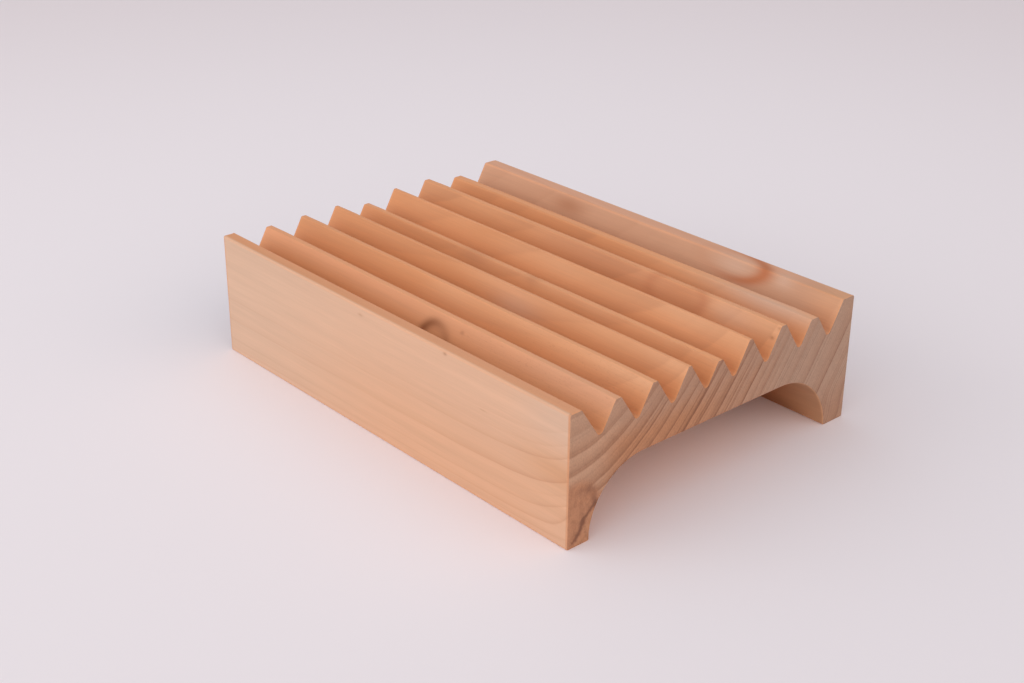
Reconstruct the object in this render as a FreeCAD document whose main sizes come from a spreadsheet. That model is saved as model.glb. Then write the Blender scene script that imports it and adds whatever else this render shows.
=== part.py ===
import FreeCAD, Part
import math
import os
import Sketcher

# A wooden soap dish cut from one block of softwood.
# Drain grooves run along its top, and an arch underneath leaves two long feet.
# Lengths are in millimetres and angles in degrees.
# The origin is under the middle of the dish: X across the grooves, Y along them, Z up.

sizes = {
    # The block
    "dish_length": 120.0,      # along the grooves
    "dish_width": 86.0,        # across the grooves
    "dish_height": 30.0,
    "edge_ease": 0.4,          # sanded rounding of the block's outer edges

    # The arch and the two feet, which aren't quite alike
    "foot_left": 6.0,          # thickness at the sole
    "foot_right": 6.7,
    "shoulder_left": 15.0,     # radius from the arch's ceiling down into a foot
    "shoulder_right": 17.0,
    "deck_thickness": 8.0,     # from the arch's ceiling up to the groove bottoms

    # The drain grooves, which lean a little to the left
    "groove_count": 8,
    "groove_depth": 7.0,
    "groove_radius": 0.9,      # of the groove's bottom
    "flank_angle_left": 33.5,  # groove's left side, from upright
    "flank_angle_right": 29.5,
    "rim_left": 3.0,           # flat top of the left wall
    "rim_right": 3.8,          # flat top of the right wall

    # How far a groove was cut to the right of its even place
    "groove_shift_2": 0.2,
    "groove_shift_3": 0.4,
    "groove_shift_4": 0.35,
    "groove_shift_5": -1.1,
    "groove_shift_6": -0.85,
    "groove_shift_7": 0.1,

    # How much was planed off a ridge's peak
    "crest_drop_1": 0.6,
    "crest_drop_2": 0.4,
    "crest_drop_3": 0.3,
    "crest_drop_4": 1.0,
    "crest_drop_7": 1.5,
}

groove_numbers = range(1, sizes["groove_count"] + 1)
ridge_numbers = range(1, sizes["groove_count"])


def make_sheet(document):
    """Put every size into a cell of its own, with its name beside it."""
    sheet = document.addObject("Spreadsheet::Sheet", "Sizes")
    for row, (name, value) in enumerate(sizes.items(), start=1):
        sheet.set(f"A{row}", name)
        sheet.set(f"B{row}", str(value))
        sheet.setAlias(f"B{row}", name)
    document.recompute()
    return sheet


def make_layout(document):
    """Work out the places that follow from the sizes."""
    layout = document.addObject("App::VarSet", "Layout")

    def place(name, formula):
        layout.addProperty("App::PropertyFloat", name, "Layout")
        layout.setExpression(name, formula)

    place("half_width", "Sizes.dish_width / 2")
    place("groove_bottom", "Sizes.dish_height - Sizes.groove_depth")
    place("arch_height", "Layout.groove_bottom - Sizes.deck_thickness")

    # Cuts start well outside the block.
    place("above", "Sizes.dish_height + Sizes.groove_depth")
    place("below", "-Layout.arch_height")

    # A shoulder is an arc that ends level on the arch's ceiling. It springs from the foot's
    # inner face at its centre's height, or from the sole where its centre lies below that.
    place("inner_left", "Sizes.foot_left - Layout.half_width")
    place("inner_right", "Layout.half_width - Sizes.foot_right")
    for side in ("left", "right"):
        place(f"centre_{side}", f"Layout.arch_height - Sizes.shoulder_{side}")
        place(f"spring_{side}", f"max(0; Layout.centre_{side})")
        rise = f"(Layout.spring_{side} - Layout.centre_{side})"
        place(f"run_{side}", f"sqrt(Sizes.shoulder_{side} ^ 2 - {rise} ^ 2)")

    # The flanks meet below the rounded bottom, at the groove's root.
    place("slope_left", "tan(Sizes.flank_angle_left)")
    place("slope_right", "tan(Sizes.flank_angle_right)")
    place("half_vee", "(Sizes.flank_angle_left + Sizes.flank_angle_right) / 2")
    place("lean", "(Sizes.flank_angle_left - Sizes.flank_angle_right) / 2")
    place("root_below", "Sizes.groove_radius * (cos(Layout.lean) / sin(Layout.half_vee) - 1)")
    place("root", "Layout.groove_bottom - Layout.root_below")
    place("reach", "Sizes.dish_height - Layout.root")
    place("first", "Sizes.rim_left + Layout.reach * Layout.slope_left - Layout.half_width")
    place("last", "Layout.half_width - Sizes.rim_right - Layout.reach * Layout.slope_right")
    place("pitch", "(Layout.last - Layout.first) / (Sizes.groove_count - 1)")
    for number in groove_numbers:
        even_place = f"Layout.first + {number - 1} * Layout.pitch"
        shift = f"groove_shift_{number}"
        place(f"groove_{number}", f"{even_place} + Sizes.{shift}" if shift in sizes else even_place)

    # A ridge peaks where its flanks meet, or at the block's top if that is lower.
    for number in ridge_numbers:
        spacing = f"(Layout.groove_{number + 1} - Layout.groove_{number})"
        meeting = f"Layout.root + {spacing} / (Layout.slope_left + Layout.slope_right)"
        place(f"peak_{number}", f"min(Sizes.dish_height; {meeting})")
    document.recompute()
    return layout


def arc_between(start, end, radius):
    """Bulge outwards from start to end, as on an outline that goes round to the left."""
    chord = end - start
    outwards = FreeCAD.Vector(chord.y, -chord.x, 0).normalize()
    bulge = radius - math.sqrt(radius ** 2 - (chord.Length / 2) ** 2)
    return Part.Arc(start, (start + end) / 2 + outwards * bulge, end)


def end_sketch(body, layout, name, corners):
    """Draw a closed outline, going round to the left, on the dish's middle cross-section.

    Each corner is two formulas, across and up. A third makes the side that leaves the
    corner an arc, and gives its radius.
    """
    start_point, end_point = 1, 2
    plane = next(item for item in body.Origin.OriginFeatures if item.Role == "XZ_Plane")
    sketch = body.newObject("Sketcher::SketchObject", name)
    sketch.AttachmentSupport = [(plane, "")]
    sketch.MapMode = "FlatFace"

    places = [[layout.evalExpression(formula) for formula in corner] for corner in corners]
    points = [FreeCAD.Vector(across, up, 0) for across, up, *radius in places]
    following = points[1:] + points[:1]
    for (across, up, *radius), start, end in zip(places, points, following):
        line = arc_between(start, end, *radius) if radius else Part.LineSegment(start, end)
        sketch.addGeometry(line, False)

    for side in range(len(corners)):
        joined = (side, end_point, (side + 1) % len(corners), start_point)
        sketch.addConstraint(Sketcher.Constraint("Coincident", *joined))
    for side, (corner, values) in enumerate(zip(corners, places)):
        for kind, formula, value in zip(("DistanceX", "DistanceY", "Radius"), corner, values):
            measured = (side,) if kind == "Radius" else (side, start_point)
            number = sketch.addConstraint(Sketcher.Constraint(kind, *measured, value))
            sketch.setExpression(f"Constraints[{number}]", formula)
    return sketch


def rectangle(left, right, bottom, top):
    return [(left, bottom), (right, bottom), (right, top), (left, top)]


def pad_block(body, layout):
    outline = rectangle("-Layout.half_width", "Layout.half_width", "0", "Sizes.dish_height")
    block = body.newObject("PartDesign::Pad", "block")
    block.Profile = end_sketch(body, layout, "block_outline", outline)
    block.SideType = "Symmetric"
    block.setExpression("Length", "Sizes.dish_length")
    body.Document.recompute()
    return block


def cut_through(body, layout, name, corners):
    """Cut an outline along the whole length of the dish."""
    volume_before = body.Shape.Volume
    cut = body.newObject("PartDesign::Pocket", name)
    cut.Profile = end_sketch(body, layout, f"{name}_outline", corners)
    cut.Type = "ThroughAll"
    cut.SideType = "Symmetric"
    body.Document.recompute()
    if not cut.Shape.Volume < volume_before:
        raise RuntimeError(f"{name} removed no wood")
    return cut


def round_edges(body, base, name, edges, radius):
    fillet = body.newObject("PartDesign::Fillet", name)
    fillet.Base = (base, edges)
    fillet.setExpression("Radius", radius)
    body.Document.recompute()
    return fillet


def long_edges(base, places):
    """Name the edges that run the dish's length at the given places, across and up."""
    near = 0.001
    names = []
    for number, edge in enumerate(base.Shape.Edges, start=1):
        for across, up in places:
            if all(abs(end.X - across) < near and abs(end.Z - up) < near for end in edge.Vertexes):
                names.append(f"Edge{number}")
    if len(names) != len(places):
        raise RuntimeError(f"found {len(names)} long edges of {len(places)}")
    return names


def cut_arch(body, layout):
    corners = [
        ("Layout.inner_left", "Layout.below"),
        ("Layout.inner_right", "Layout.below"),
        ("Layout.inner_right", "Layout.spring_right", "Sizes.shoulder_right"),
        ("Layout.inner_right - Layout.run_right", "Layout.arch_height"),
        ("Layout.inner_left + Layout.run_left", "Layout.arch_height", "Sizes.shoulder_left"),
        ("Layout.inner_left", "Layout.spring_left"),
    ]
    cut_through(body, layout, "arch", corners)


def cut_grooves(body, layout):
    rise = "(Layout.above - Layout.root)"
    for number in groove_numbers:
        middle = f"Layout.groove_{number}"
        corners = [
            (middle, "Layout.root"),
            (f"{middle} + {rise} * Layout.slope_right", "Layout.above"),
            (f"{middle} - {rise} * Layout.slope_left", "Layout.above"),
        ]
        groove = cut_through(body, layout, f"groove_{number}", corners)
    roots = [(getattr(layout, f"groove_{number}"), layout.root) for number in groove_numbers]
    round_edges(body, groove, "groove_bottoms", long_edges(groove, roots), "Sizes.groove_radius")


def plane_crests(body, layout):
    """Take the low ridges down, each between the grooves beside it."""
    for number in ridge_numbers:
        drop = f"crest_drop_{number}"
        if drop in sizes:
            left = f"Layout.groove_{number}"
            right = f"Layout.groove_{number + 1}"
            crest = f"Layout.peak_{number} - Sizes.{drop}"
            corners = rectangle(left, right, crest, "Layout.above")
            cut_through(body, layout, f"crest_{number}", corners)


def make_dish_body(document, layout):
    body = document.addObject("PartDesign::Body", "dish_body")
    block = pad_block(body, layout)
    all_edges = [f"Edge{number}" for number in range(1, len(block.Shape.Edges) + 1)]
    round_edges(body, block, "eased_edges", all_edges, "Sizes.edge_ease")
    cut_arch(body, layout)
    cut_grooves(body, layout)
    plane_crests(body, layout)
    return body


def check(document, pieces):
    for item in document.Objects:
        if "Invalid" in item.State or "Error" in item.State:
            raise RuntimeError(f"{item.Label} failed: {item.State}")
    for piece in pieces:
        if piece.Shape.isNull() or not piece.Shape.isValid() or len(piece.Shape.Solids) != 1:
            raise RuntimeError(f"{piece.Label} isn't one sound solid")
        box = piece.Shape.BoundBox
        print(f"{piece.Label}: {box.XLength:.2f} x {box.YLength:.2f} x {box.ZLength:.2f} mm, "
              f"{piece.Shape.Volume / 1000:.1f} cm3")


document = FreeCAD.newDocument("soap_dish")
make_sheet(document)
layout = make_layout(document)
pieces = [make_dish_body(document, layout)]
check(document, pieces)

os.makedirs("parts", exist_ok=True)
for piece in pieces:
    piece.Shape.exportStep(f"parts/{piece.Label}.step")
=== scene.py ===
import math
import bpy
import numpy as np
from mathutils import Matrix, Vector


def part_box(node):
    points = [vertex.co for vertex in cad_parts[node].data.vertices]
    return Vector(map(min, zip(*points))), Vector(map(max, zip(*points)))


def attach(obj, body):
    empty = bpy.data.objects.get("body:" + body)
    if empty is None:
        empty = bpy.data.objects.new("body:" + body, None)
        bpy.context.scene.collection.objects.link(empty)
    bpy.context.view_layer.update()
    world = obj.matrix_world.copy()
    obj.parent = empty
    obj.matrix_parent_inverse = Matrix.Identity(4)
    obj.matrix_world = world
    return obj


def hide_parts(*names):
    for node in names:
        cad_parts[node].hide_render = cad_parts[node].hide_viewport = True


# A wooden soap dish cut from one block of softwood: drain grooves along its top,
# an arch underneath that leaves two long feet.
# X runs across the grooves, Y along them, Z up. Settings are in millimetres and degrees.

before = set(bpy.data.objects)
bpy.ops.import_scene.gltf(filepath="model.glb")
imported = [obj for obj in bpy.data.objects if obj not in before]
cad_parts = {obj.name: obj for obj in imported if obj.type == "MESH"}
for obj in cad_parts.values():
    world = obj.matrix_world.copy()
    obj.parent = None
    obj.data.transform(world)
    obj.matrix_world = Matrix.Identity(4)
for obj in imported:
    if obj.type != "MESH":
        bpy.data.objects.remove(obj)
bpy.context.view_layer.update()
mm = 0.001
lowCorner, highCorner = (np.array(corner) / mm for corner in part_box("dish_body"))
dishWidth, dishLength, dishHeight = highCorner - lowCorner
print(f"frame: {dishWidth:.1f} x {dishLength:.1f} x {dishHeight:.1f} mm")


# Shader sums written as Python expressions

class Field:
    def __init__(self, tree, socket=None):
        self.tree = tree
        self.socket = socket

    # any node: its type, its settings, what goes into its sockets, and the output that is wanted
    def node(self, kind, settings, inputs, output=0):
        made = self.tree.nodes.new(kind)
        for name, value in settings.items():
            if name == "stops":
                ramp = made.color_ramp.elements
                while len(ramp) < len(value):
                    ramp.new(1.0)
                for stop, (place, colour) in zip(ramp, value):
                    stop.position = place
                    stop.color = (*colour, 1.0)
            else:
                setattr(made, name, value)
        for name, value in inputs.items():
            if isinstance(value, Field):
                self.tree.links.new(value.socket, made.inputs[name])
            else:
                made.inputs[name].default_value = value
        return Field(self.tree, made.outputs[output] if len(made.outputs) else None)

    def math(self, operation, *values):
        return self.node("ShaderNodeMath", {"operation": operation}, dict(enumerate(values)))

    def vector(self, operation, *values, output=0):
        return self.node("ShaderNodeVectorMath", {"operation": operation},
                         dict(enumerate(values)), output)

    # a vector's parts, each as a value
    def parts(self, axes="XYZ"):
        return [self.node("ShaderNodeSeparateXYZ", {}, {0: self}, axis) for axis in axes]

    def __add__(self, other):
        return self.math("ADD", self, other)

    def __sub__(self, other):
        return self.math("SUBTRACT", self, other)

    def __rsub__(self, other):
        return self.math("SUBTRACT", other, self)

    def __mul__(self, other):
        return self.math("MULTIPLY", self, other)

    def __truediv__(self, other):
        return self.math("DIVIDE", self, other)

    def __pow__(self, other):
        return self.math("POWER", self, other)

    __radd__ = __add__
    __rmul__ = __mul__

    # 0 below low, 1 above high, and a soft step between them
    def rise(self, low, high):
        return self.node("ShaderNodeMapRange", {"interpolation_type": "SMOOTHSTEP"},
                         {0: self, 1: low, 2: high, 3: 0.0, 4: 1.0})

    # 1 below low, 0 above high
    def fall(self, low, high):
        return 1 - self.rise(low, high)

    # this field as the share of the second colour
    def between(self, first, second):
        return self.node("ShaderNodeMix", {"data_type": "RGBA"},
                         {0: self, 6: asColour(first), 7: asColour(second)}, 2)


def asColour(value):
    return value if isinstance(value, Field) else (*value, 1.0)


def newMaterial(name):
    material = bpy.data.materials.new(name)
    material.use_nodes = True
    tree = material.node_tree
    tree.nodes.clear()
    return material, Field(tree)


# The dish's shape: the CAD model's sizes, with finer rounding, wear and pits

dish = {
    "rimLeft": 3.0, "rimRight": 3.8,            # flat tops of the two outer walls
    "grooveDepth": 7.0, "grooveRadius": 0.9,
    "flankLeft": 33.5, "flankRight": 29.5,      # groove sides, from upright
    "grooveShifts": (0, 0.2, 0.4, 0.35, -1.1, -0.85, 0.1, 0),      # to the right of even places
    "crestDrops": (0.6, 0.4, 0.3, 1.0, 0, 0, 1.5),                  # planed off each ridge
    "crestEdge": 0.2,                           # rounding, as a share of the flat
    "crestWear": 0.04, "wearWaves": (9.0, 3.7), "wearTurns": (2.1, 1.3),    # comes and goes along a ridge
    "tipWear": 0.12, "tipLength": 4.0,          # more is worn off at a ridge's ends
    "widestCrest": 2.2, "arcPaleness": 0.4,     # a flat up to this width is pale with wear and a painted highlight, an arc partly
    "deckThickness": 8.0,                       # arch ceiling to groove bottoms
    "footLeft": 6.0, "footRight": 6.7,
    "shoulderLeft": 15.0, "shoulderRight": 17.0,
    "soleStraight": 0.42,                       # kept straight below a shoulder's arc
    "outerEdge": 0.4, "rimEdge": 0.4, "soleEdge": 0.4,
    "endEdge": 0.3, "grooveEdge": 0.08, "archEdge": 0.45,       # rounding of the two ends
    "archEdgeGrows": (0.5, 3.5),                # between these heights
    "pitRidge": 4, "pitCount": 16, "pitSeed": 4, "pitDepth": 0.22,
    "pitAlong": (0.5, 15.0), "pitAcross": (-0.3, 0.8), "pitSize": (0.3, 0.6),
    "pitStretch": 1.5, "pitBelow": 3.0,         # length for width, and how far below the crest they go
    "arcSteps": {"edge": 4, "topEdge": 6, "groove": 8, "crest": 5, "shoulder": 30, "end": 5},
    "fineStep": 0.4, "fineReach": 16.0, "step": 1.05,           # along the dish, finer at the near end
}


def unit(vectors):
    return vectors / np.linalg.norm(vectors, axis=-1, keepdims=True)


# A corner's arc touches both of its sides. It starts at the corner plus the way back times
# radius / tan(half the inside angle), and turns by half a turn less the inside angle.
# Straight runs get a point close to each end, so that shading stays flat between arcs.
# Each point's paleness is 1 on a worn crest, less on an arc that stands proud, and else 0; it stands for
# wear and a painted highlight.
def roundedOutline(corners, radii, arcSteps, support=0.25, supportShare=0.3, runStep=1.6):
    back = unit(np.roll(corners, 1, axis=1) - corners)
    ahead = unit(np.roll(corners, -1, axis=1) - corners)
    inside = np.arccos(np.clip((back * ahead).sum(-1), -1, 1))
    reach = radii / np.tan(inside / 2)
    middle = corners + unit(back + ahead) * (radii / np.sin(inside / 2))[..., None]
    starts = corners + back * reach[..., None]
    ends = corners + ahead * reach[..., None]
    cross = back[..., 0] * ahead[..., 1] - back[..., 1] * ahead[..., 0]
    outwards = np.sign(cross.mean(0))           # 1 where a corner stands proud, -1 in a hollow
    points, normals, paleness, firsts = [], [], [], []
    for corner, steps in enumerate(arcSteps):
        firsts.append(sum(part.shape[1] for part in points))
        turn = (np.linspace(0, 1, steps + 1) * (math.pi - inside[:, corner, None]))[..., None]
        arm = unit(starts[:, corner, None] - middle[:, corner, None])
        spoke = arm * np.cos(turn) - back[:, corner, None] * np.sin(turn)
        points.append(middle[:, corner, None] + spoke * radii[:, corner, None, None])
        normals.append(spoke * outwards[corner])
        paleness.append(np.full(steps + 1, dish["arcPaleness"] if outwards[corner] > 0 else 0.0))

        following = (corner + 1) % len(arcSteps)
        run = starts[:, following] - ends[:, corner]
        length = np.linalg.norm(run, axis=-1).mean()
        inner = np.linspace(0, 1, max(2, round(length / runStep)) + 1)[1:-1]
        close = min(support / length, supportShare)
        shares = np.unique(np.concatenate([[close], inner, [1 - close]]))
        points.append(ends[:, corner, None] + run[:, None] * shares[:, None])
        leftOfRun = unit(np.stack([-run[:, 1], run[:, 0]], axis=-1))
        normals.append(np.repeat(leftOfRun[:, None], len(shares), axis=1))
        proud = outwards[corner] > 0 and outwards[following] > 0
        onCrest = proud and length < dish["widestCrest"]
        paleness.append(np.full(len(shares), 1.0 if onCrest else 0.0))
    joined = [np.concatenate(parts, axis=1) for parts in (points, normals)]
    return *joined, np.concatenate(paleness), firsts


# The cross-section's corners at each place along the dish, going clockwise from the left
# foot's outer edge. Flanks rise from a groove's root at their own slopes, and end at the two
# corners of a ridge's flat crest. Wear takes the crest down by two sine waves along it and by a
# bell at each end. A shoulder's corner is where the foot's leaning inner face meets the arch's
# ceiling, and its arc reaches down that face to just above the sole.
def dishCorners(along):
    slopeLeft = math.tan(math.radians(dish["flankLeft"]))
    slopeRight = math.tan(math.radians(dish["flankRight"]))
    halfVee = math.radians(dish["flankLeft"] + dish["flankRight"]) / 2
    lean = math.radians(dish["flankLeft"] - dish["flankRight"]) / 2
    grooveBottom = dishHeight - dish["grooveDepth"]
    blunt = math.cos(lean) / math.sin(halfVee) - 1      # what rounding takes off, per radius
    root = grooveBottom - dish["grooveRadius"] * blunt
    firstRoot = dish["rimLeft"] + (dishHeight - root) * slopeLeft
    lastRoot = dishWidth - dish["rimRight"] - (dishHeight - root) * slopeRight
    roots = np.linspace(firstRoot, lastRoot, len(dish["grooveShifts"])) + dish["grooveShifts"]
    peaks = root + np.diff(roots) / (slopeLeft + slopeRight)
    crests = np.minimum(peaks, dishHeight) - dish["crestDrops"]

    fromEnd = np.minimum(along, dishLength - along)
    archHeight = grooveBottom - dish["deckThickness"]
    steps = dish["arcSteps"]
    corners = [(0, 0, dish["outerEdge"], steps["edge"]),
               (0, dishHeight, dish["outerEdge"], steps["topEdge"]),
               (dish["rimLeft"], dishHeight, dish["rimEdge"], steps["edge"])]
    (longWave, shortWave), (longTurn, shortTurn) = dish["wearWaves"], dish["wearTurns"]
    for number, place in enumerate(roots):
        corners.append((place, root, dish["grooveRadius"], steps["groove"]))
        if number < len(crests):
            wander = np.sin(along / longWave + longTurn * number)
            wander = wander + np.sin(along / shortWave + shortTurn * number ** 2)
            worn = dish["crestWear"] * (1 + wander / 2)
            worn = worn + dish["tipWear"] * np.exp(-(fromEnd / dish["tipLength"]) ** 2)
            rise = crests[number] - worn - root
            left, right = place + rise * slopeRight, roots[number + 1] - rise * slopeLeft
            radius = dish["crestEdge"] * (right - left)
            corners += [(left, root + rise, radius, steps["crest"]),
                        (right, root + rise, radius, steps["crest"])]
    corners += [(dishWidth - dish["rimRight"], dishHeight, dish["rimEdge"], steps["edge"]),
                (dishWidth, dishHeight, dish["outerEdge"], steps["topEdge"]),
                (dishWidth, 0, dish["outerEdge"], steps["edge"])]
    for side, sign, sole in (("Right", -1, dishWidth - dish["footRight"]), ("Left", 1, dish["footLeft"])):
        tilt = math.asin((dish["shoulder" + side] - archHeight) / dish["shoulder" + side])
        reach = archHeight / math.cos(tilt) - dish["soleStraight"]
        radius = reach * math.tan(math.pi / 4 + tilt / 2)
        shoulder = (sole + sign * archHeight * math.tan(tilt), archHeight, radius, steps["shoulder"])
        edge = (sole, 0, dish["soleEdge"], steps["edge"])
        corners += [edge, shoulder] if side == "Right" else [shoulder, edge]

    def column(index):
        return np.stack([np.broadcast_to(corner[index], along.shape) for corner in corners], axis=1)

    places = np.stack([column(0), column(1)], axis=-1)
    pitted = dish["pitRidge"] - 1
    crest = np.array([roots[pitted] + (crests[pitted] - root) * slopeRight, crests[pitted]])
    return places, column(2), [corner[3] for corner in corners], crest


# The outline carried along Y. Near an end it steps inwards along its own normals by
# r - sqrt(r^2 - (r - distance from the end)^2), a quarter circle. Its radius r is small at
# the grooves, and grows on the way up into the arch.
def dishSurface():
    endEdge, archEdge, fineReach = dish["endEdge"], dish["archEdge"], dish["fineReach"]
    quarter = 1 - np.sin(np.linspace(math.pi / 2, 0, dish["arcSteps"]["end"] + 1))
    close = np.unique(np.concatenate([endEdge * quarter, archEdge * quarter]))
    fine = np.arange(archEdge + dish["fineStep"], fineReach, dish["fineStep"])
    rest = np.linspace(fineReach, dishLength - archEdge, round((dishLength - fineReach) / dish["step"]))
    along = np.concatenate([close, fine, rest[:-1], dishLength - close[::-1]])

    corners, radii, arcSteps, crest = dishCorners(along)
    outline, normal, paleness, firsts = roundedOutline(corners, radii, arcSteps)
    leftTop, leftRim, rightTop, rightShoulder = 1, 2, -6, -3        # places in the list of corners
    number = np.arange(outline.shape[1])
    low, high = dish["archEdgeGrows"]
    inArch = np.clip((outline[..., 1] - low) / (high - low), 0, 1) * (number >= firsts[rightShoulder])
    inGrooves = (number >= firsts[leftRim]) & (number < firsts[rightTop])
    radius = np.where(inGrooves, dish["grooveEdge"], endEdge + (archEdge - endEdge) * inArch)
    short = np.clip(radius - np.minimum(along, dishLength - along)[:, None], 0, None)
    outline = outline - normal * (radius - np.sqrt(radius ** 2 - short ** 2))[..., None]
    seam = firsts[leftTop] + arcSteps[leftTop] // 2                 # middle of the left wall's top edge
    otherSeam = firsts[rightTop] + arcSteps[rightTop] // 2          # and of the right wall's
    outline, normal = (np.roll(part, -seam, axis=1) for part in (outline, normal))
    paleness = np.roll(paleness, -seam)

    # small pits where one ridge's crest has torn, each a dent in the shape of a bell
    chance = np.random.default_rng(dish["pitSeed"])
    pitAlong = chance.uniform(*dish["pitAlong"], dish["pitCount"])
    pitAcross = crest[0] + chance.uniform(*dish["pitAcross"], dish["pitCount"])
    pitSize = chance.uniform(*dish["pitSize"], dish["pitCount"])
    apart = ((along[:, None, None] - pitAlong) / (dish["pitStretch"] * pitSize)) ** 2
    apart = apart + ((outline[..., :1] - pitAcross) / pitSize) ** 2
    sink = (np.exp(-apart) * pitSize).sum(-1) / max(dish["pitSize"]) * dish["pitDepth"]
    sink = sink * (outline[..., 1] > crest[1] - dish["pitBelow"])
    outline = outline - normal * sink[..., None]

    points = np.empty((*outline.shape[:2], 3))
    points[..., 0] = outline[..., 0] + lowCorner[0]
    points[..., 1] = along[:, None] + lowCorner[1]
    points[..., 2] = outline[..., 1] + lowCorner[2]
    return points, paleness, otherSeam - seam


# Grid faces between neighbouring outlines, and one flat face at each end. The map for
# baking lays the top and the underside out as two strips, with the two ends below them.
def buildDish():
    points, paleness, fold = dishSurface()
    stations, around = points.shape[:2]
    index = np.arange(stations * around).reshape(stations, around)
    nextIndex = np.roll(index, -1, axis=1)
    quads = np.stack([index[:-1], nextIndex[:-1], nextIndex[1:], index[1:]], axis=-1).reshape(-1, 4)
    caps = [index[0, ::-1], index[-1]]

    mesh = bpy.data.meshes.new("dishBody")
    mesh.from_pydata(points.reshape(-1, 3) * mm, [], quads.tolist() + [cap.tolist() for cap in caps])
    smooth = np.ones(len(mesh.polygons), dtype=bool)
    smooth[-len(caps):] = False
    mesh.polygons.foreach_set("use_smooth", smooth)
    # the paleness, wear with a painted highlight, goes to the material as the edge attribute
    worn = mesh.attributes.new("edge", "FLOAT", "POINT")
    worn.data.foreach_set("value", np.tile(paleness, stations))

    # places on the map, which is 1 by 1
    margin, stripTop, stripLow, capTop, half = 0.006, 0.59, 0.19, 0.18, 0.5
    closed = np.concatenate([points, points[:, :1]], axis=1)
    girth = np.linalg.norm(np.diff(closed, axis=1), axis=-1).mean(0)
    way = np.concatenate([[0], np.cumsum(girth)])
    forward = np.linalg.norm(np.diff(points, axis=0), axis=-1).mean(1)
    share = np.concatenate([[0], np.cumsum(forward)]) / forward.sum()
    onTop = np.arange(around) < fold
    start = np.where(onTop, 0, way[fold])
    span = np.where(onTop, way[fold], way[-1] - way[fold])
    low = np.where(onTop, stripTop, stripLow)
    across = margin + (1 - 2 * margin) * np.stack([way[:-1] - start, way[1:] - start]) / span
    tall = stripTop - stripLow - 2 * margin
    up = low + tall * np.stack([share[:-1], share[1:]])[..., None]
    u = np.broadcast_to(across[[0, 1, 1, 0]][:, None], (4, stations - 1, around))
    v = up[[0, 0, 1, 1]]
    quadMap = np.stack([u, v], axis=-1).transpose(1, 2, 0, 3).reshape(-1, 2)
    scale = min((half - 2 * margin) / dishWidth, (capTop - margin) / dishHeight)
    capMaps = []
    for cap, left in zip(caps, (margin, half + margin)):
        flat = points.reshape(-1, 3)[cap][:, [0, 2]] - lowCorner[[0, 2]]
        capMaps.append(flat * scale + (left, margin))
    bakeMap = mesh.uv_layers.new(name="OFBake")
    bakeMap.data.foreach_set("uv", np.concatenate([quadMap, *capMaps]).ravel())
    mesh.validate()

    piece = bpy.data.objects.new("dish_wood", mesh)
    bpy.context.scene.collection.objects.link(piece)
    print(f"dish: {len(mesh.vertices)} points, {len(quads) * 2 + 2 * (around - 2)} triangles")
    return piece


# The wood. Places are measured from the dish's near left corner on the floor.

wood = {
    "faceHigh": (0.67, 0.405, 0.265), "faceLow": (0.66, 0.372, 0.225),      # sanded outer faces
    "faceFar": (0.64, 0.415, 0.285), "faceWarm": (0.58, 0.28, 0.13), "facePale": (0.62, 0.42, 0.305),
    "light": (0.735, 0.382, 0.203), "warm": (0.65, 0.272, 0.108),             # inside the block
    # valley: painted shade, darker and more orange towards the groove bottoms
    "valley": (0.675, 0.255, 0.09), "rightWall": (0.565, 0.30, 0.182),
    "pale": (0.64, 0.40, 0.285), "red": (0.50, 0.16, 0.055),
    "late": (0.40, 0.15, 0.06),             # dark part of a growth ring
    "knot": (0.30, 0.095, 0.026),
    "edge": (0.79, 0.35, 0.158), "faceEdgeGlow": (0.58, 0.26, 0.13),            # worn edges with a painted highlight, and a painted reddish edge line of light
    "rimLeft": (0.74, 0.337, 0.17), "rimRight": (0.70, 0.358, 0.22),
    "arch": (0.79, 0.36, 0.155),            # the arch's ceiling, then the right foot's inner side
    "archMouth": (0.53, 0.275, 0.145), "archDeep": (0.37, 0.118, 0.038),
    # painted contact shade for the right foot's inner side by the floor
    "archContactShade": (0.2, 0.065, 0.022),
    "endLeft": (0.51, 0.30, 0.192), "endMiddle": (0.447, 0.251, 0.16), "endRight": (0.417, 0.268, 0.19),
    "endLow": (0.475, 0.212, 0.099), "endTip": (0.37, 0.23, 0.162),         # by the arch, and ridge tips
    "endWarm": (0.36, 0.155, 0.075), "endLate": (0.15, 0.052, 0.024),
    "foot": (0.46, 0.21, 0.108), "footLight": (0.50, 0.24, 0.125), "footDark": (0.19, 0.068, 0.033),
    "ringBend": (1.18, 24.8, 0.003),        # climb to the right, how slowly it comes, and its gain
    "ringLift": (5.0, 8.5),                 # rise towards the near end, and its reach
    "ringFall": (0.016, 0.0023),            # steady fall along the dish, and its gain to the right
    "ringWander": 2.0, "ringShiver": 0.8,   # slow and quick unevenness
    "firstRing": -33.0, "firstFaceRing": -31.0,     # where the lists of rings start
    "fineSpacing": 1.35, "fineUneven": 1.4,
    "knotRim": 0.95,                        # a rim's place, for half sizes of 1
    "roughness": 0.5, "fibreDepth": 0.06,
}

# noises: lengths across, along and up, then detail and shift
grain = {
    "fibre": ((0.3, 12.0, 0.3), 3.0, 0.0), "streaks": ((2.2, 70.0, 2.2), 2.0, 9.0),
    "clouds": ((16.0, 45.0, 16.0), 2.0, 7.0), "flecks": ((0.3, 0.7, 0.3), 0.0, 11.0),
    "pores": ((0.3, 3.0, 0.5), 3.0, 2.0), "sawMarks": ((0.8, 3.0, 1.6), 3.0, 4.0),
    "ringWander": ((28.0, 90.0, 28.0), 1.0, 0.0), "ringShiver": ((6.0, 40.0, 6.0), 2.0, 3.0),
    "crackWobble": ((1.1, 6.0, 1.1), 2.0, 5.0), "footStreaks": ((1.5, 6.0, 2.2), 2.0, 1.0),
}

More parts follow.
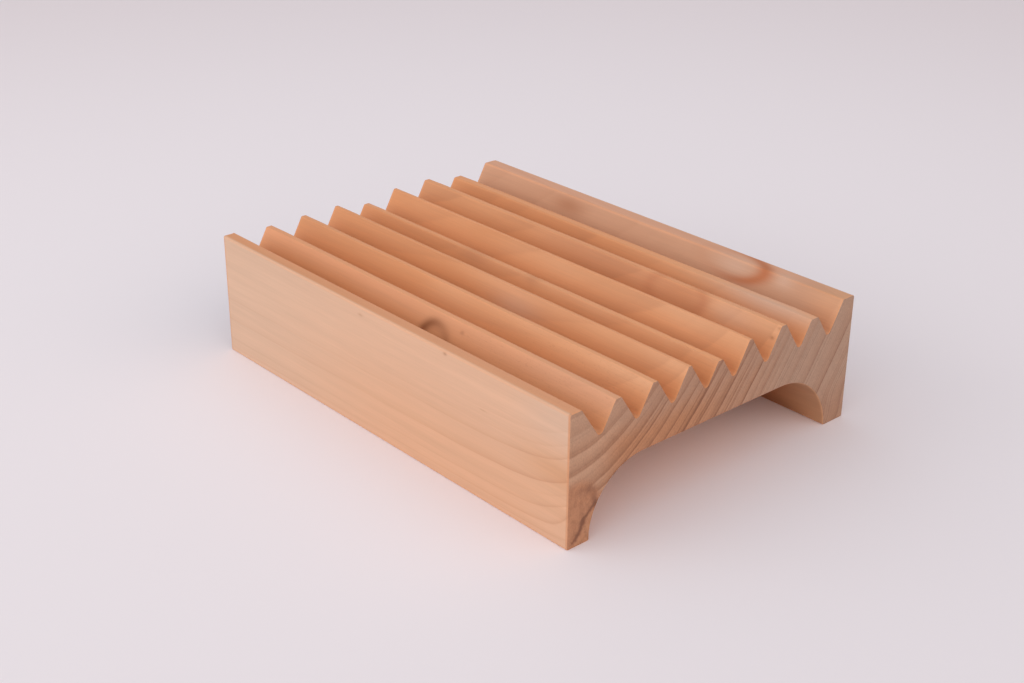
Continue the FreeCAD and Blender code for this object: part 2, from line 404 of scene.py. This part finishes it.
# where each growth ring ends, in depth across the rings, and how dark it is there
leftRings = [(-29.0, 0.3), (-25.0, 0.35), (-20.6, 0.55), (-16.3, 0.6), (-11.4, 0.65), (-9.0, 0.75),
             (-4.6, 0.65), (-0.5, 0.7), (5.2, 1.0), (9.7, 0.8), (15.8, 0.85)]
rightRings = [(19.4, 0.6), (21.3, 0.6), (25.9, 0.9), (29.7, 0.4), (33.6, 0.6), (36.4, 0.3),
              (39.5, 0.3), (47.0, 0.3), (56.5, 0.35), (68.3, 0.4), (76.0, 0.25), (84.0, 0.3)]
faceRings = [(-26.5, 0.25), (-23.5, 0.3), (-20.7, 0.8), (-15.4, 1.0), (-12.5, 0.25), (-10.1, 0.7),
             (-7.8, 0.9), (-6.4, 0.6)]

# Knots: middle, half sizes, how far they push the rings, how dark their rim is at the near
# and at the far side, how sharp it is, how dark the middle is, and the colour's name.
knots = [
    ((9.4, 52.7, 24.1), (3.6, 4.2, 3.6), 1.5, (0.35, 0.9), 3.2, 0.12, "knot"),
    ((81.5, 31.5, 29.5), (4.5, 10.0, 4.0), 0.0, (1.0, 0.1), 4.2, 0.0, "red"),
    ((60.2, 29.5, 28.0), (4.5, 8.5, 4.5), 0.0, (0.42, 0.38), 5.0, 0.0, "red"),
    ((80.9, 86.0, 27.8), (2.2, 5.5, 2.0), 0.6, None, 1.0, 0.7, "late"),
    ((41.9, 56.5, 28.0), (2.0, 2.5, 1.6), 0.5, None, 1.0, 0.3, "late"),
    ((41.4, 77.0, 27.6), (2.4, 6.0, 2.2), 0.5, None, 1.0, 0.35, "late"),
]

# paler patches, of which those on ridge 7 and on the right wall's flank by the near end are painted sheen,
# and resin specks: middle, half sizes, share
palesAndSheen = [
    ((13.0, 4.0, 29.0), (4.5, 24.0, 4.0), 0.25), ((70.5, 10.0, 28.8), (2.0, 16.0, 1.5), 0.3),
    ((60.4, 13.0, 28.4), (3.0, 7.0, 2.5), 0.35), ((71.3, 12.0, 28.5), (3.5, 14.0, 3.0), 0.6),
    ((81.4, 30.5, 28.6), (3.0, 6.0, 2.2), 0.7), ((81.7, 16.5, 29.2), (2.5, 3.0, 2.0), 0.7),
    ((31.0, 50.0, 26.5), (3.0, 8.0, 3.0), 0.35),
]
specks = [
    ((0.0, 65.7, 28.0), (0.5, 0.8, 0.35), 0.3), ((0.0, 37.0, 29.2), (0.4, 0.55, 0.35), 0.5),
    ((0.0, 25.2, 21.0), (0.4, 1.2, 0.16), 0.25), ((11.4, 45.0, 27.6), (0.4, 0.6, 0.4), 0.4),
    ((59.9, 1.3, 27.2), (0.4, 0.55, 0.4), 0.5), ((60.9, 0.5, 29.4), (0.35, 0.5, 0.35), 0.5),
]

# the near left foot's darker patch, the slanting crack in it, and two dark spots
footPatch = {
    "middle": (2.0, -1.0, 4.0), "halfSizes": (8.5, 7.0, 11.0), "fade": (0.85, 1.08), "share": 0.9,
    "crackFoot": 0.65, "crackLean": 0.795,      # where it meets the floor, and its way right for its way up
    "bendHeight": 5.7, "bendReach": 1.3, "bendSize": 0.8,
    "crackSquare": 0.78,                        # turns a level distance into one square to the crack
    "crackHalf": 0.55, "crackWobble": 1.1,
    "spots": [((5.5, 0.0, 12.0), (1.5, 2.0, 1.1), 0.6), ((7.0, 0.0, 9.6), (1.0, 2.0, 1.6), 0.6)],
}


# noise with its own length for each direction
def noiseAt(place, name):
    lengths, detail, shift = grain[name]
    stretched = place.vector("MULTIPLY_ADD", place, tuple(1 / length for length in lengths), (shift,) * 3)
    return place.node("ShaderNodeTexNoise", {},
                      {"Vector": stretched, "Scale": 1.0, "Detail": detail, "Roughness": 0.55})


# distance from a point, 1 at the half sizes
def distanceFrom(place, middle, halfSizes):
    offset = place.vector("DIVIDE", place.vector("SUBTRACT", place, middle), halfSizes)
    return place.vector("LENGTH", offset, output="Value")


# 1 at zero, falling away on both sides
def bell(value):
    return value.math("EXPONENT", value * value * -1.0)


# the colour with a share of another one where the mask is 1
def tint(colour, name, mask, share=1.0):
    return (mask * share).between(colour, wood[name])


# bells round a list of places, each with its own share
def patches(place, spots):
    return sum(bell(distanceFrom(place, middle, halfSizes)) * share for middle, halfSizes, share in spots)


# Each ring starts light, darkens and ends sharply. A ramp gives its strength as red, and as green
# how far through it a place lies.
def ringsAt(depth, rings, first, softness=0.12):
    span = rings[-1][0] + 1 - first             # a little past the last ring
    stops = [(0.0, (0.0, 0.0, 0.0))]
    for start, (end, strength) in zip([first] + [end for end, strength in rings], rings):
        stops += [((start + softness - first) / span, (strength, 0.0, 0.0)),
                  ((end - softness - first) / span, (strength, 1.0, 0.0))]
    stops.append(((rings[-1][0] + softness - first) / span, (0.0, 0.0, 0.0)))
    return depth.node("ShaderNodeValToRGB", {"stops": stops}, {0: (depth - first) / span})


# Fine rings between them, no two equally strong. Their count is the depth over their spacing,
# made uneven by noise.
def fineTone(depth):
    count = depth / wood["fineSpacing"]
    count = count + depth.node("ShaderNodeTexNoise", {"noise_dimensions": "1D"},
                               {"W": count, "Detail": 1.0, "Scale": 0.8}) * wood["fineUneven"]
    ring = depth.math("FLOOR", count)
    force = depth.node("ShaderNodeTexWhiteNoise", {"noise_dimensions": "1D"}, {"W": ring})
    phase = count - ring
    return phase.rise(0.45, 0.9) * phase.fall(0.92, 1.0) * force


# Depth across the growth rings: level at the left face, climbing to the right, lifted at
# the near end, and falling along the dish, more so at the right.
def ringDepth(place, across, along, up):
    climb, knee, gain = wood["ringBend"]
    lift, reach = wood["ringLift"]
    fall, fallGain = wood["ringFall"]
    bend = ((across * across + knee ** 2) ** 0.5 - knee) * (across * gain + climb)
    raised = place.math("EXPONENT", along * (-1 / reach)) * up.rise(0.0, 9.0) * lift
    depth = bend - up + raised - lift - along * (across * fallGain + fall)
    wander = (noiseAt(place, "ringWander") - 0.5) * across.rise(0.0, 11.0) * along.rise(0.0, 45.0)
    shiver = noiseAt(place, "ringShiver") - 0.5
    depth = depth + wander * wood["ringWander"] + shiver * wood["ringShiver"]
    for middle, halfSizes, push, *others in knots:
        if push:
            depth = depth + bell(distanceFrom(place, middle, halfSizes)) * push
    return depth


# A knot is a bell round its middle and another along its rim, whose share changes from near to far.
def addKnots(colour, place, along):
    for middle, halfSizes, push, rim, sharpness, core, name in knots:
        apart = distanceFrom(place, middle, halfSizes)
        share = bell(apart) * core
        if rim:
            near, far = rim
            towards = ((along - middle[1]) / halfSizes[1]).rise(-0.8, 0.8)
            onRim = bell((apart - wood["knotRim"]) * sharpness)
            share = share + onRim * (towards * (far - near) + near)
        colour = tint(colour, name, share)
    return colour


# The near left foot's patch. The crack's line is its foot plus its lean times the height, with a
# bell for the bend and noise for the wobble.
def footColour(place, across, up):
    bend = bell((up - footPatch["bendHeight"]) / footPatch["bendReach"]) * footPatch["bendSize"]
    beside = across - up * footPatch["crackLean"] - footPatch["crackFoot"] + bend
    wobble = (noiseAt(place, "crackWobble") - 0.5) * footPatch["crackWobble"]
    beside = beside * footPatch["crackSquare"] + wobble
    onCrack = bell(beside / footPatch["crackHalf"]) * up.rise(0.4, 1.6) * up.fall(8.2, 9.4)
    streaks = noiseAt(place, "footStreaks").rise(0.35, 0.8)
    dark = onCrack * 0.95 + streaks * 0.45 + patches(place, footPatch["spots"])
    rightOfCrack = beside.rise(0.4, 0.9) * up.fall(6.4, 7.4)
    colour = rightOfCrack.between(wood["foot"], wood["footLight"])
    return tint(colour, "footDark", dark)


# End grain: three colours from left to right, tints by place, growth rings, which are softer at
# the left, and the foot's patch over them.
def endColour(place, across, up, strength, phase, fine):
    colour = across.rise(6.0, 24.0).between(wood["endLeft"], wood["endMiddle"])
    colour = across.rise(44.0, 68.0).between(colour, wood["endRight"])
    rightFoot = across.rise(70.0, 76.0) * up.fall(2.0, 14.0)
    byArch = up.fall(18.0, 23.5) * across.rise(6.0, 16.0) * across.fall(30.0, 52.0)
    ridgeTips = up.rise(22.0, 25.0) * across.fall(64.0, 72.0)
    colour = tint(colour, "endWarm", rightFoot, share=0.4)
    colour = tint(colour, "endLow", byArch, share=0.85)
    colour = tint(colour, "endWarm", strength * phase, share=0.75)
    colour = tint(colour, "endTip", ridgeTips, share=0.3)

    sawn = (noiseAt(place, "sawMarks") * 1.3 + 0.35) * (1 - up.rise(21.0, 26.0) * 0.4)
    clear = across.rise(8.0, 26.0)
    ring = strength * phase ** (clear * 4.6 + 2.4) * (clear * 0.4 + 0.5)
    colour = tint(colour, "endLate", (ring + fine * (clear * 0.25 + 0.15)) * sawn)
    inFoot = distanceFrom(place, footPatch["middle"], footPatch["halfSizes"]).fall(*footPatch["fade"])
    return (inFoot * footPatch["share"]).between(colour, footColour(place, across, up))


# Cut faces: clouds that get warmer along the dish, then painted shade in the valleys, and tints for the
# ridges and walls.
def cutColour(place, across, along, up):
    clouds = noiseAt(place, "clouds").rise(0.3, 0.7)
    colour = (clouds * 0.55 + along.rise(10.0, 90.0) * 0.75).between(wood["light"], wood["warm"])
    middleRidge = bell((across - 48.0) / 5.0) * along.fall(25.0, 60.0)
    # painted shade: the groove bottoms darker and more orange, where less light reaches
    paintedValleyShade = up.fall(25.5, 29.4) * (across.rise(13.0, 20.0) * 0.35 + 0.3)
    redRidge = bell((across - 60.5) / 4.5) * along.rise(16.0, 26.0) * along.fall(55.0, 90.0)
    rightWall = across.rise(73.0, 79.0) * (along.rise(2.0, 12.0) * 0.4 + 0.45)
    colour = tint(colour, "warm", middleRidge, share=0.4)
    colour = tint(colour, "valley", paintedValleyShade)
    colour = tint(colour, "red", redRidge, share=0.4)
    colour = tint(colour, "rightWall", rightWall)

    onTop = up.rise(29.2, 29.8)
    leftRim = across.fall(3.0, 3.8) * onTop * (0.9 - along.rise(35.0, 95.0) * 0.4)
    firstRidge = across.rise(4.5, 5.5) * across.fall(14.5, 17.0) * up.rise(24.5, 29.0) * 0.7
    rightRim = across.rise(81.6, 82.6) * onTop * along.rise(4.0, 20.0)
    colour = tint(colour, "rimLeft", leftRim + firstRidge)
    return tint(colour, "rimRight", rightRim, share=0.9)


# The arch: one colour, but the right foot's inner side is darker further in, and painted contact shade
# darkens it by the floor.
def archColour(across, up, fromEnd):
    footSide = fromEnd.rise(1.0, 24.0).between(wood["archMouth"], wood["archDeep"])
    # painted contact shade along the floor
    paintedContactShade = up.fall(0.0, 4.0) * fromEnd.rise(2.0, 14.0)
    footSide = tint(footSide, "archContactShade", paintedContactShade, share=0.5)
    return across.rise(58.0, 68.0).between(wood["arch"], footSide)


# Outer faces: two colours by height, another far along, and a warm band between pale ones at the
# near end.
def faceColour(along, up):
    colour = up.rise(8.0, 26.0).between(wood["faceLow"], wood["faceHigh"])
    colour = along.rise(45.0, 115.0).between(colour, wood["faceFar"])
    nearEnd = along.fall(2.0, 20.0)
    warmBand = bell((up - 16.2) / 3.2)
    paleBands = up.rise(20.0, 26.0) * 0.6 + up.fall(4.0, 8.0) * 0.2
    colour = tint(colour, "faceWarm", nearEnd * warmBand, share=0.55)
    return tint(colour, "facePale", nearEnd * paleBands)


# Long grain: outer faces, cut faces and the arch, with the growth rings on all of them.
def longColour(place, across, along, up, fromEnd, onFace, ringTone):
    inArch = up.fall(15.2, 16.0)
    cut = inArch.between(cutColour(place, across, along, up), archColour(across, up, fromEnd))
    colour = onFace.between(cut, faceColour(along, up))
    return tint(colour, "late", ringTone, share=0.36)


# Long grain and end grain by place, shaded by fibres, streaks and pores.
def woodMaterial():
    material, field = newMaterial("sandedSoftwood")
    spot = field.node("ShaderNodeTexCoord", {}, {}, "Object")
    place = field.vector("MULTIPLY_ADD", spot, (1 / mm,) * 3, tuple(-lowCorner))
    across, along, up = place.parts()
    fromEnd = field.math("MINIMUM", along, dishLength - along)
    fromSide = field.math("MINIMUM", across, dishWidth - across)
    onEnd = fromEnd.fall(0.04, 0.12)
    onFace = fromSide.fall(0.3, 0.7)
    onLeft = across.fall(1.5, 6.0)

    # the left face has rings of its own
    depth = ringDepth(place, across, along, up)
    rings = ringsAt(depth, leftRings, wood["firstRing"])
    rings = field.vector("ADD", rings, ringsAt(depth, rightRings, leftRings[-1][0]))
    strength, phase = rings.parts("XY")
    faceStrength, facePhase = ringsAt(depth, faceRings, wood["firstFaceRing"]).parts("XY")
    fine = fineTone(depth)
    faceTone = faceStrength * (facePhase ** 7.0 * 0.9 + facePhase * 0.15)
    faceTone = faceTone * (1 - along.rise(4.0, 60.0) * 0.6)
    cutTone = strength * phase * phase * 0.75 + fine * 0.1
    ringTone = onLeft * faceTone + (1 - onLeft) * cutTone

    longGrain = longColour(place, across, along, up, fromEnd, onFace, ringTone)
    fleckZone = along.fall(36.0, 54.0) * across.fall(20.0, 30.0) * (1 - onFace) * (1 - onEnd)
    fleck = noiseAt(place, "flecks").rise(0.68, 0.76) * fleckZone
    # crests and the ends' upper edges: wear with a painted highlight
    crestWearAndHighlight = field.node("ShaderNodeAttribute", {"attribute_name": "edge"}, {}, "Fac") * 0.75
    endWearAndHighlight = fromEnd.fall(0.3, 0.8) * up.rise(12.0, 17.0) * 0.35
    # painted light: a reddish line along the outer faces' edges at both ends, standing in for light through
    # the rounded edge
    paintedEdgeGlow = fromEnd.fall(0.35, 0.7) * onFace
    longGrain = tint(longGrain, "late", fleck, share=0.13)
    longGrain = tint(longGrain, "edge", field.math("MAXIMUM", crestWearAndHighlight, endWearAndHighlight))
    # paler wood, and painted sheen on ridge 7 and the right wall's flank by the near end
    longGrain = tint(longGrain, "pale", patches(place, palesAndSheen))
    longGrain = addKnots(longGrain, place, along)
    # the painted edge light on the outer faces
    longGrain = tint(longGrain, "faceEdgeGlow", paintedEdgeGlow, share=0.7)
    speck = patches(place, specks)
    colour = onEnd.between(longGrain, endColour(place, across, up, strength, phase, fine))
    colour = tint(colour, "knot", speck)

    fibre = noiseAt(place, "fibre")
    streaks = noiseAt(place, "streaks")
    pores = noiseAt(place, "pores") - 0.5
    shade = fibre * 0.16 + streaks * 0.2 + pores * onEnd * 0.5 + 0.82
    shade = field.node("ShaderNodeCombineXYZ", {}, {0: shade, 1: shade, 2: shade})
    colour = field.vector("MULTIPLY", colour, shade)

    height = fibre * 0.6 + ringTone * 0.4 - fleck - speck
    bump = field.node("ShaderNodeBump", {},
                      {"Strength": 0.35, "Distance": wood["fibreDepth"] * mm, "Height": height})
    rough = wood["roughness"] + fibre * 0.16 + onEnd * 0.1
    shader = field.node("ShaderNodeBsdfPrincipled", {},
                        {"Base Color": colour, "Roughness": rough, "Normal": bump})
    field.node("ShaderNodeOutputMaterial", {}, {"Surface": shader})
    return material


dishWood = buildDish()
dishWood.data.materials.append(woodMaterial())
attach(dishWood, "root")
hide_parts("dish_body")
print("wood: finished")


# Floor, light and camera

studio = {
    "floorColour": (0.90, 0.83, 0.865), "floorFarShade": (0.78, 0.695, 0.72),
    "floorFade": (120.0, 550.0),                # painted light falloff: how far out the floor's colour darkens towards the backdrop
    "floorRings": (150.0, 400.0, 1000.0, 3000.0), "floorPoints": 48, "floorRoughness": 0.9,
    # light from each side of the room: near the floor, and halfway up
    "sides": {
        ("Y", -1): ((0.68, 0.61, 0.57), (2.00, 1.69, 1.50)),
        ("X", -1): ((1.22, 1.19, 1.17), (1.49, 1.46, 1.42)),
        ("Y", 1): ((1.10, 1.09, 1.08), (0.67, 0.68, 0.71)),
        ("X", 1): ((0.27, 0.25, 0.25), (0.0, 0.0, 0.0)),
    },
    "ceiling": (0.57, 0.66, 0.73),
    "halfwayUp": (0.0, 0.5), "overhead": (0.5, 0.95),           # where 0 is level and 1 straight up
    "windowPlace": (-610.0, 352.0, 256.0), "windowSize": (600.0, 450.0), "windowPower": 0.9,
    "backdrop": (0.76, 0.69, 0.725),
}

photoView = {
    "eye": (-225.6, -247.7, 169.2),
    "azimuth": -41.79, "elevation": 25.36, "roll": 0.50,
    "lens": 55.69, "sensor": 36.0,
}


# A ring of points at each radius, joined to the next: x = r cos(t), y = r sin(t).
def buildFloor():
    radius = np.array(studio["floorRings"])
    turn = np.linspace(0, 2 * math.pi, studio["floorPoints"], endpoint=False)
    flat = radius[:, None, None] * np.stack([np.cos(turn), np.sin(turn)], axis=-1)
    points = np.concatenate([flat, np.zeros((*flat.shape[:2], 1))], axis=-1).reshape(-1, 3)
    index = np.arange(len(points)).reshape(len(radius), -1)
    nextIndex = np.roll(index, -1, axis=1)
    quads = np.stack([index[:-1], index[1:], nextIndex[1:], nextIndex[:-1]], axis=-1).reshape(-1, 4)
    mesh = bpy.data.meshes.new("floor")
    mesh.from_pydata(points * mm, [], quads.tolist() + [index[0].tolist()])
    floor = bpy.data.objects.new("floor", mesh)
    bpy.context.scene.collection.objects.link(floor)
    material, field = newMaterial("palePaper")
    spot = field.node("ShaderNodeTexCoord", {}, {}, "Object")
    far = field.vector("LENGTH", spot, output="Value") / mm
    # painted light falloff: the floor darkens away from the dish, meeting the backdrop
    colour = far.rise(*studio["floorFade"]).between(studio["floorColour"], studio["floorFarShade"])
    shader = field.node("ShaderNodeBsdfPrincipled", {},
                        {"Base Color": colour, "Roughness": studio["floorRoughness"]})
    field.node("ShaderNodeOutputMaterial", {}, {"Surface": shader})
    mesh.materials.append(material)


def lightStudio():
    window = bpy.data.lights.new("window", "AREA")
    window.shape = "RECTANGLE"
    window.size, window.size_y = (length * mm for length in studio["windowSize"])
    window.energy = studio["windowPower"]
    lamp = bpy.data.objects.new("window", window)
    lamp.visible_camera = False
    lamp.location = Vector(studio["windowPlace"]) * mm
    lamp.rotation_mode = "QUATERNION"
    lamp.rotation_quaternion = lamp.location.to_track_quat("Z", "Y")
    bpy.context.scene.collection.objects.link(lamp)

    # a side's share is the square of the level direction's part towards it, so that the shares
    # add up to one
    world = bpy.data.worlds.new("room")
    world.use_nodes = True
    world.node_tree.nodes.clear()
    field = Field(world.node_tree)
    way = field.node("ShaderNodeTexCoord", {}, {}, "Generated")
    up = way.parts("Z")[0]
    levelSquare = 1.0001 - up * up              # a little over, so that it is never zero
    light = (0.0, 0.0, 0.0)
    for (axis, sign), (low, high) in studio["sides"].items():
        towards = field.math("MAXIMUM", way.parts(axis)[0] * sign, 0.0)
        colour = up.rise(*studio["halfwayUp"]).between(low, high)
        side = (towards * towards / levelSquare).between((0.0, 0.0, 0.0), colour)
        light = field.vector("ADD", light, side)
    light = up.rise(*studio["overhead"]).between(light, studio["ceiling"])
    rays = [field.node("ShaderNodeLightPath", {}, {}, f"Is {kind} Ray")
            for kind in ("Camera", "Glossy", "Transmission")]
    seen = field.math("MINIMUM", sum(rays), 1.0)
    shader = field.node("ShaderNodeBackground", {}, {"Color": seen.between(light, studio["backdrop"])})
    field.node("ShaderNodeOutputWorld", {}, {"Surface": shader})
    bpy.context.scene.world = world


# Back points from the dish to the camera, and roll turns the camera's other two axes about it.
def aimCamera():
    azimuth, elevation, roll = (math.radians(photoView[name]) for name in ("azimuth", "elevation", "roll"))
    levelPart = math.cos(elevation)
    back = np.array([math.sin(azimuth) * levelPart, -math.cos(azimuth) * levelPart, math.sin(elevation)])
    level = np.array([math.cos(azimuth), math.sin(azimuth), 0.0])
    upright = np.cross(back, level)
    right = math.cos(roll) * level + math.sin(roll) * upright
    above = np.cross(back, right)
    lens = bpy.data.cameras.new("photoView")
    lens.lens, lens.sensor_width = photoView["lens"], photoView["sensor"]
    lens.clip_start, lens.clip_end = 0.01, 20.0
    camera = bpy.data.objects.new("photoView", lens)
    turned = Matrix(np.stack([right, above, back], axis=1).tolist()).to_4x4()
    camera.matrix_world = Matrix.Translation(np.array(photoView["eye"]) * mm) @ turned
    bpy.context.scene.collection.objects.link(camera)
    bpy.context.scene.camera = camera


buildFloor()
lightStudio()
aimCamera()
bpy.context.scene.view_settings.view_transform = "Standard"
print("studio: floor, light and camera")
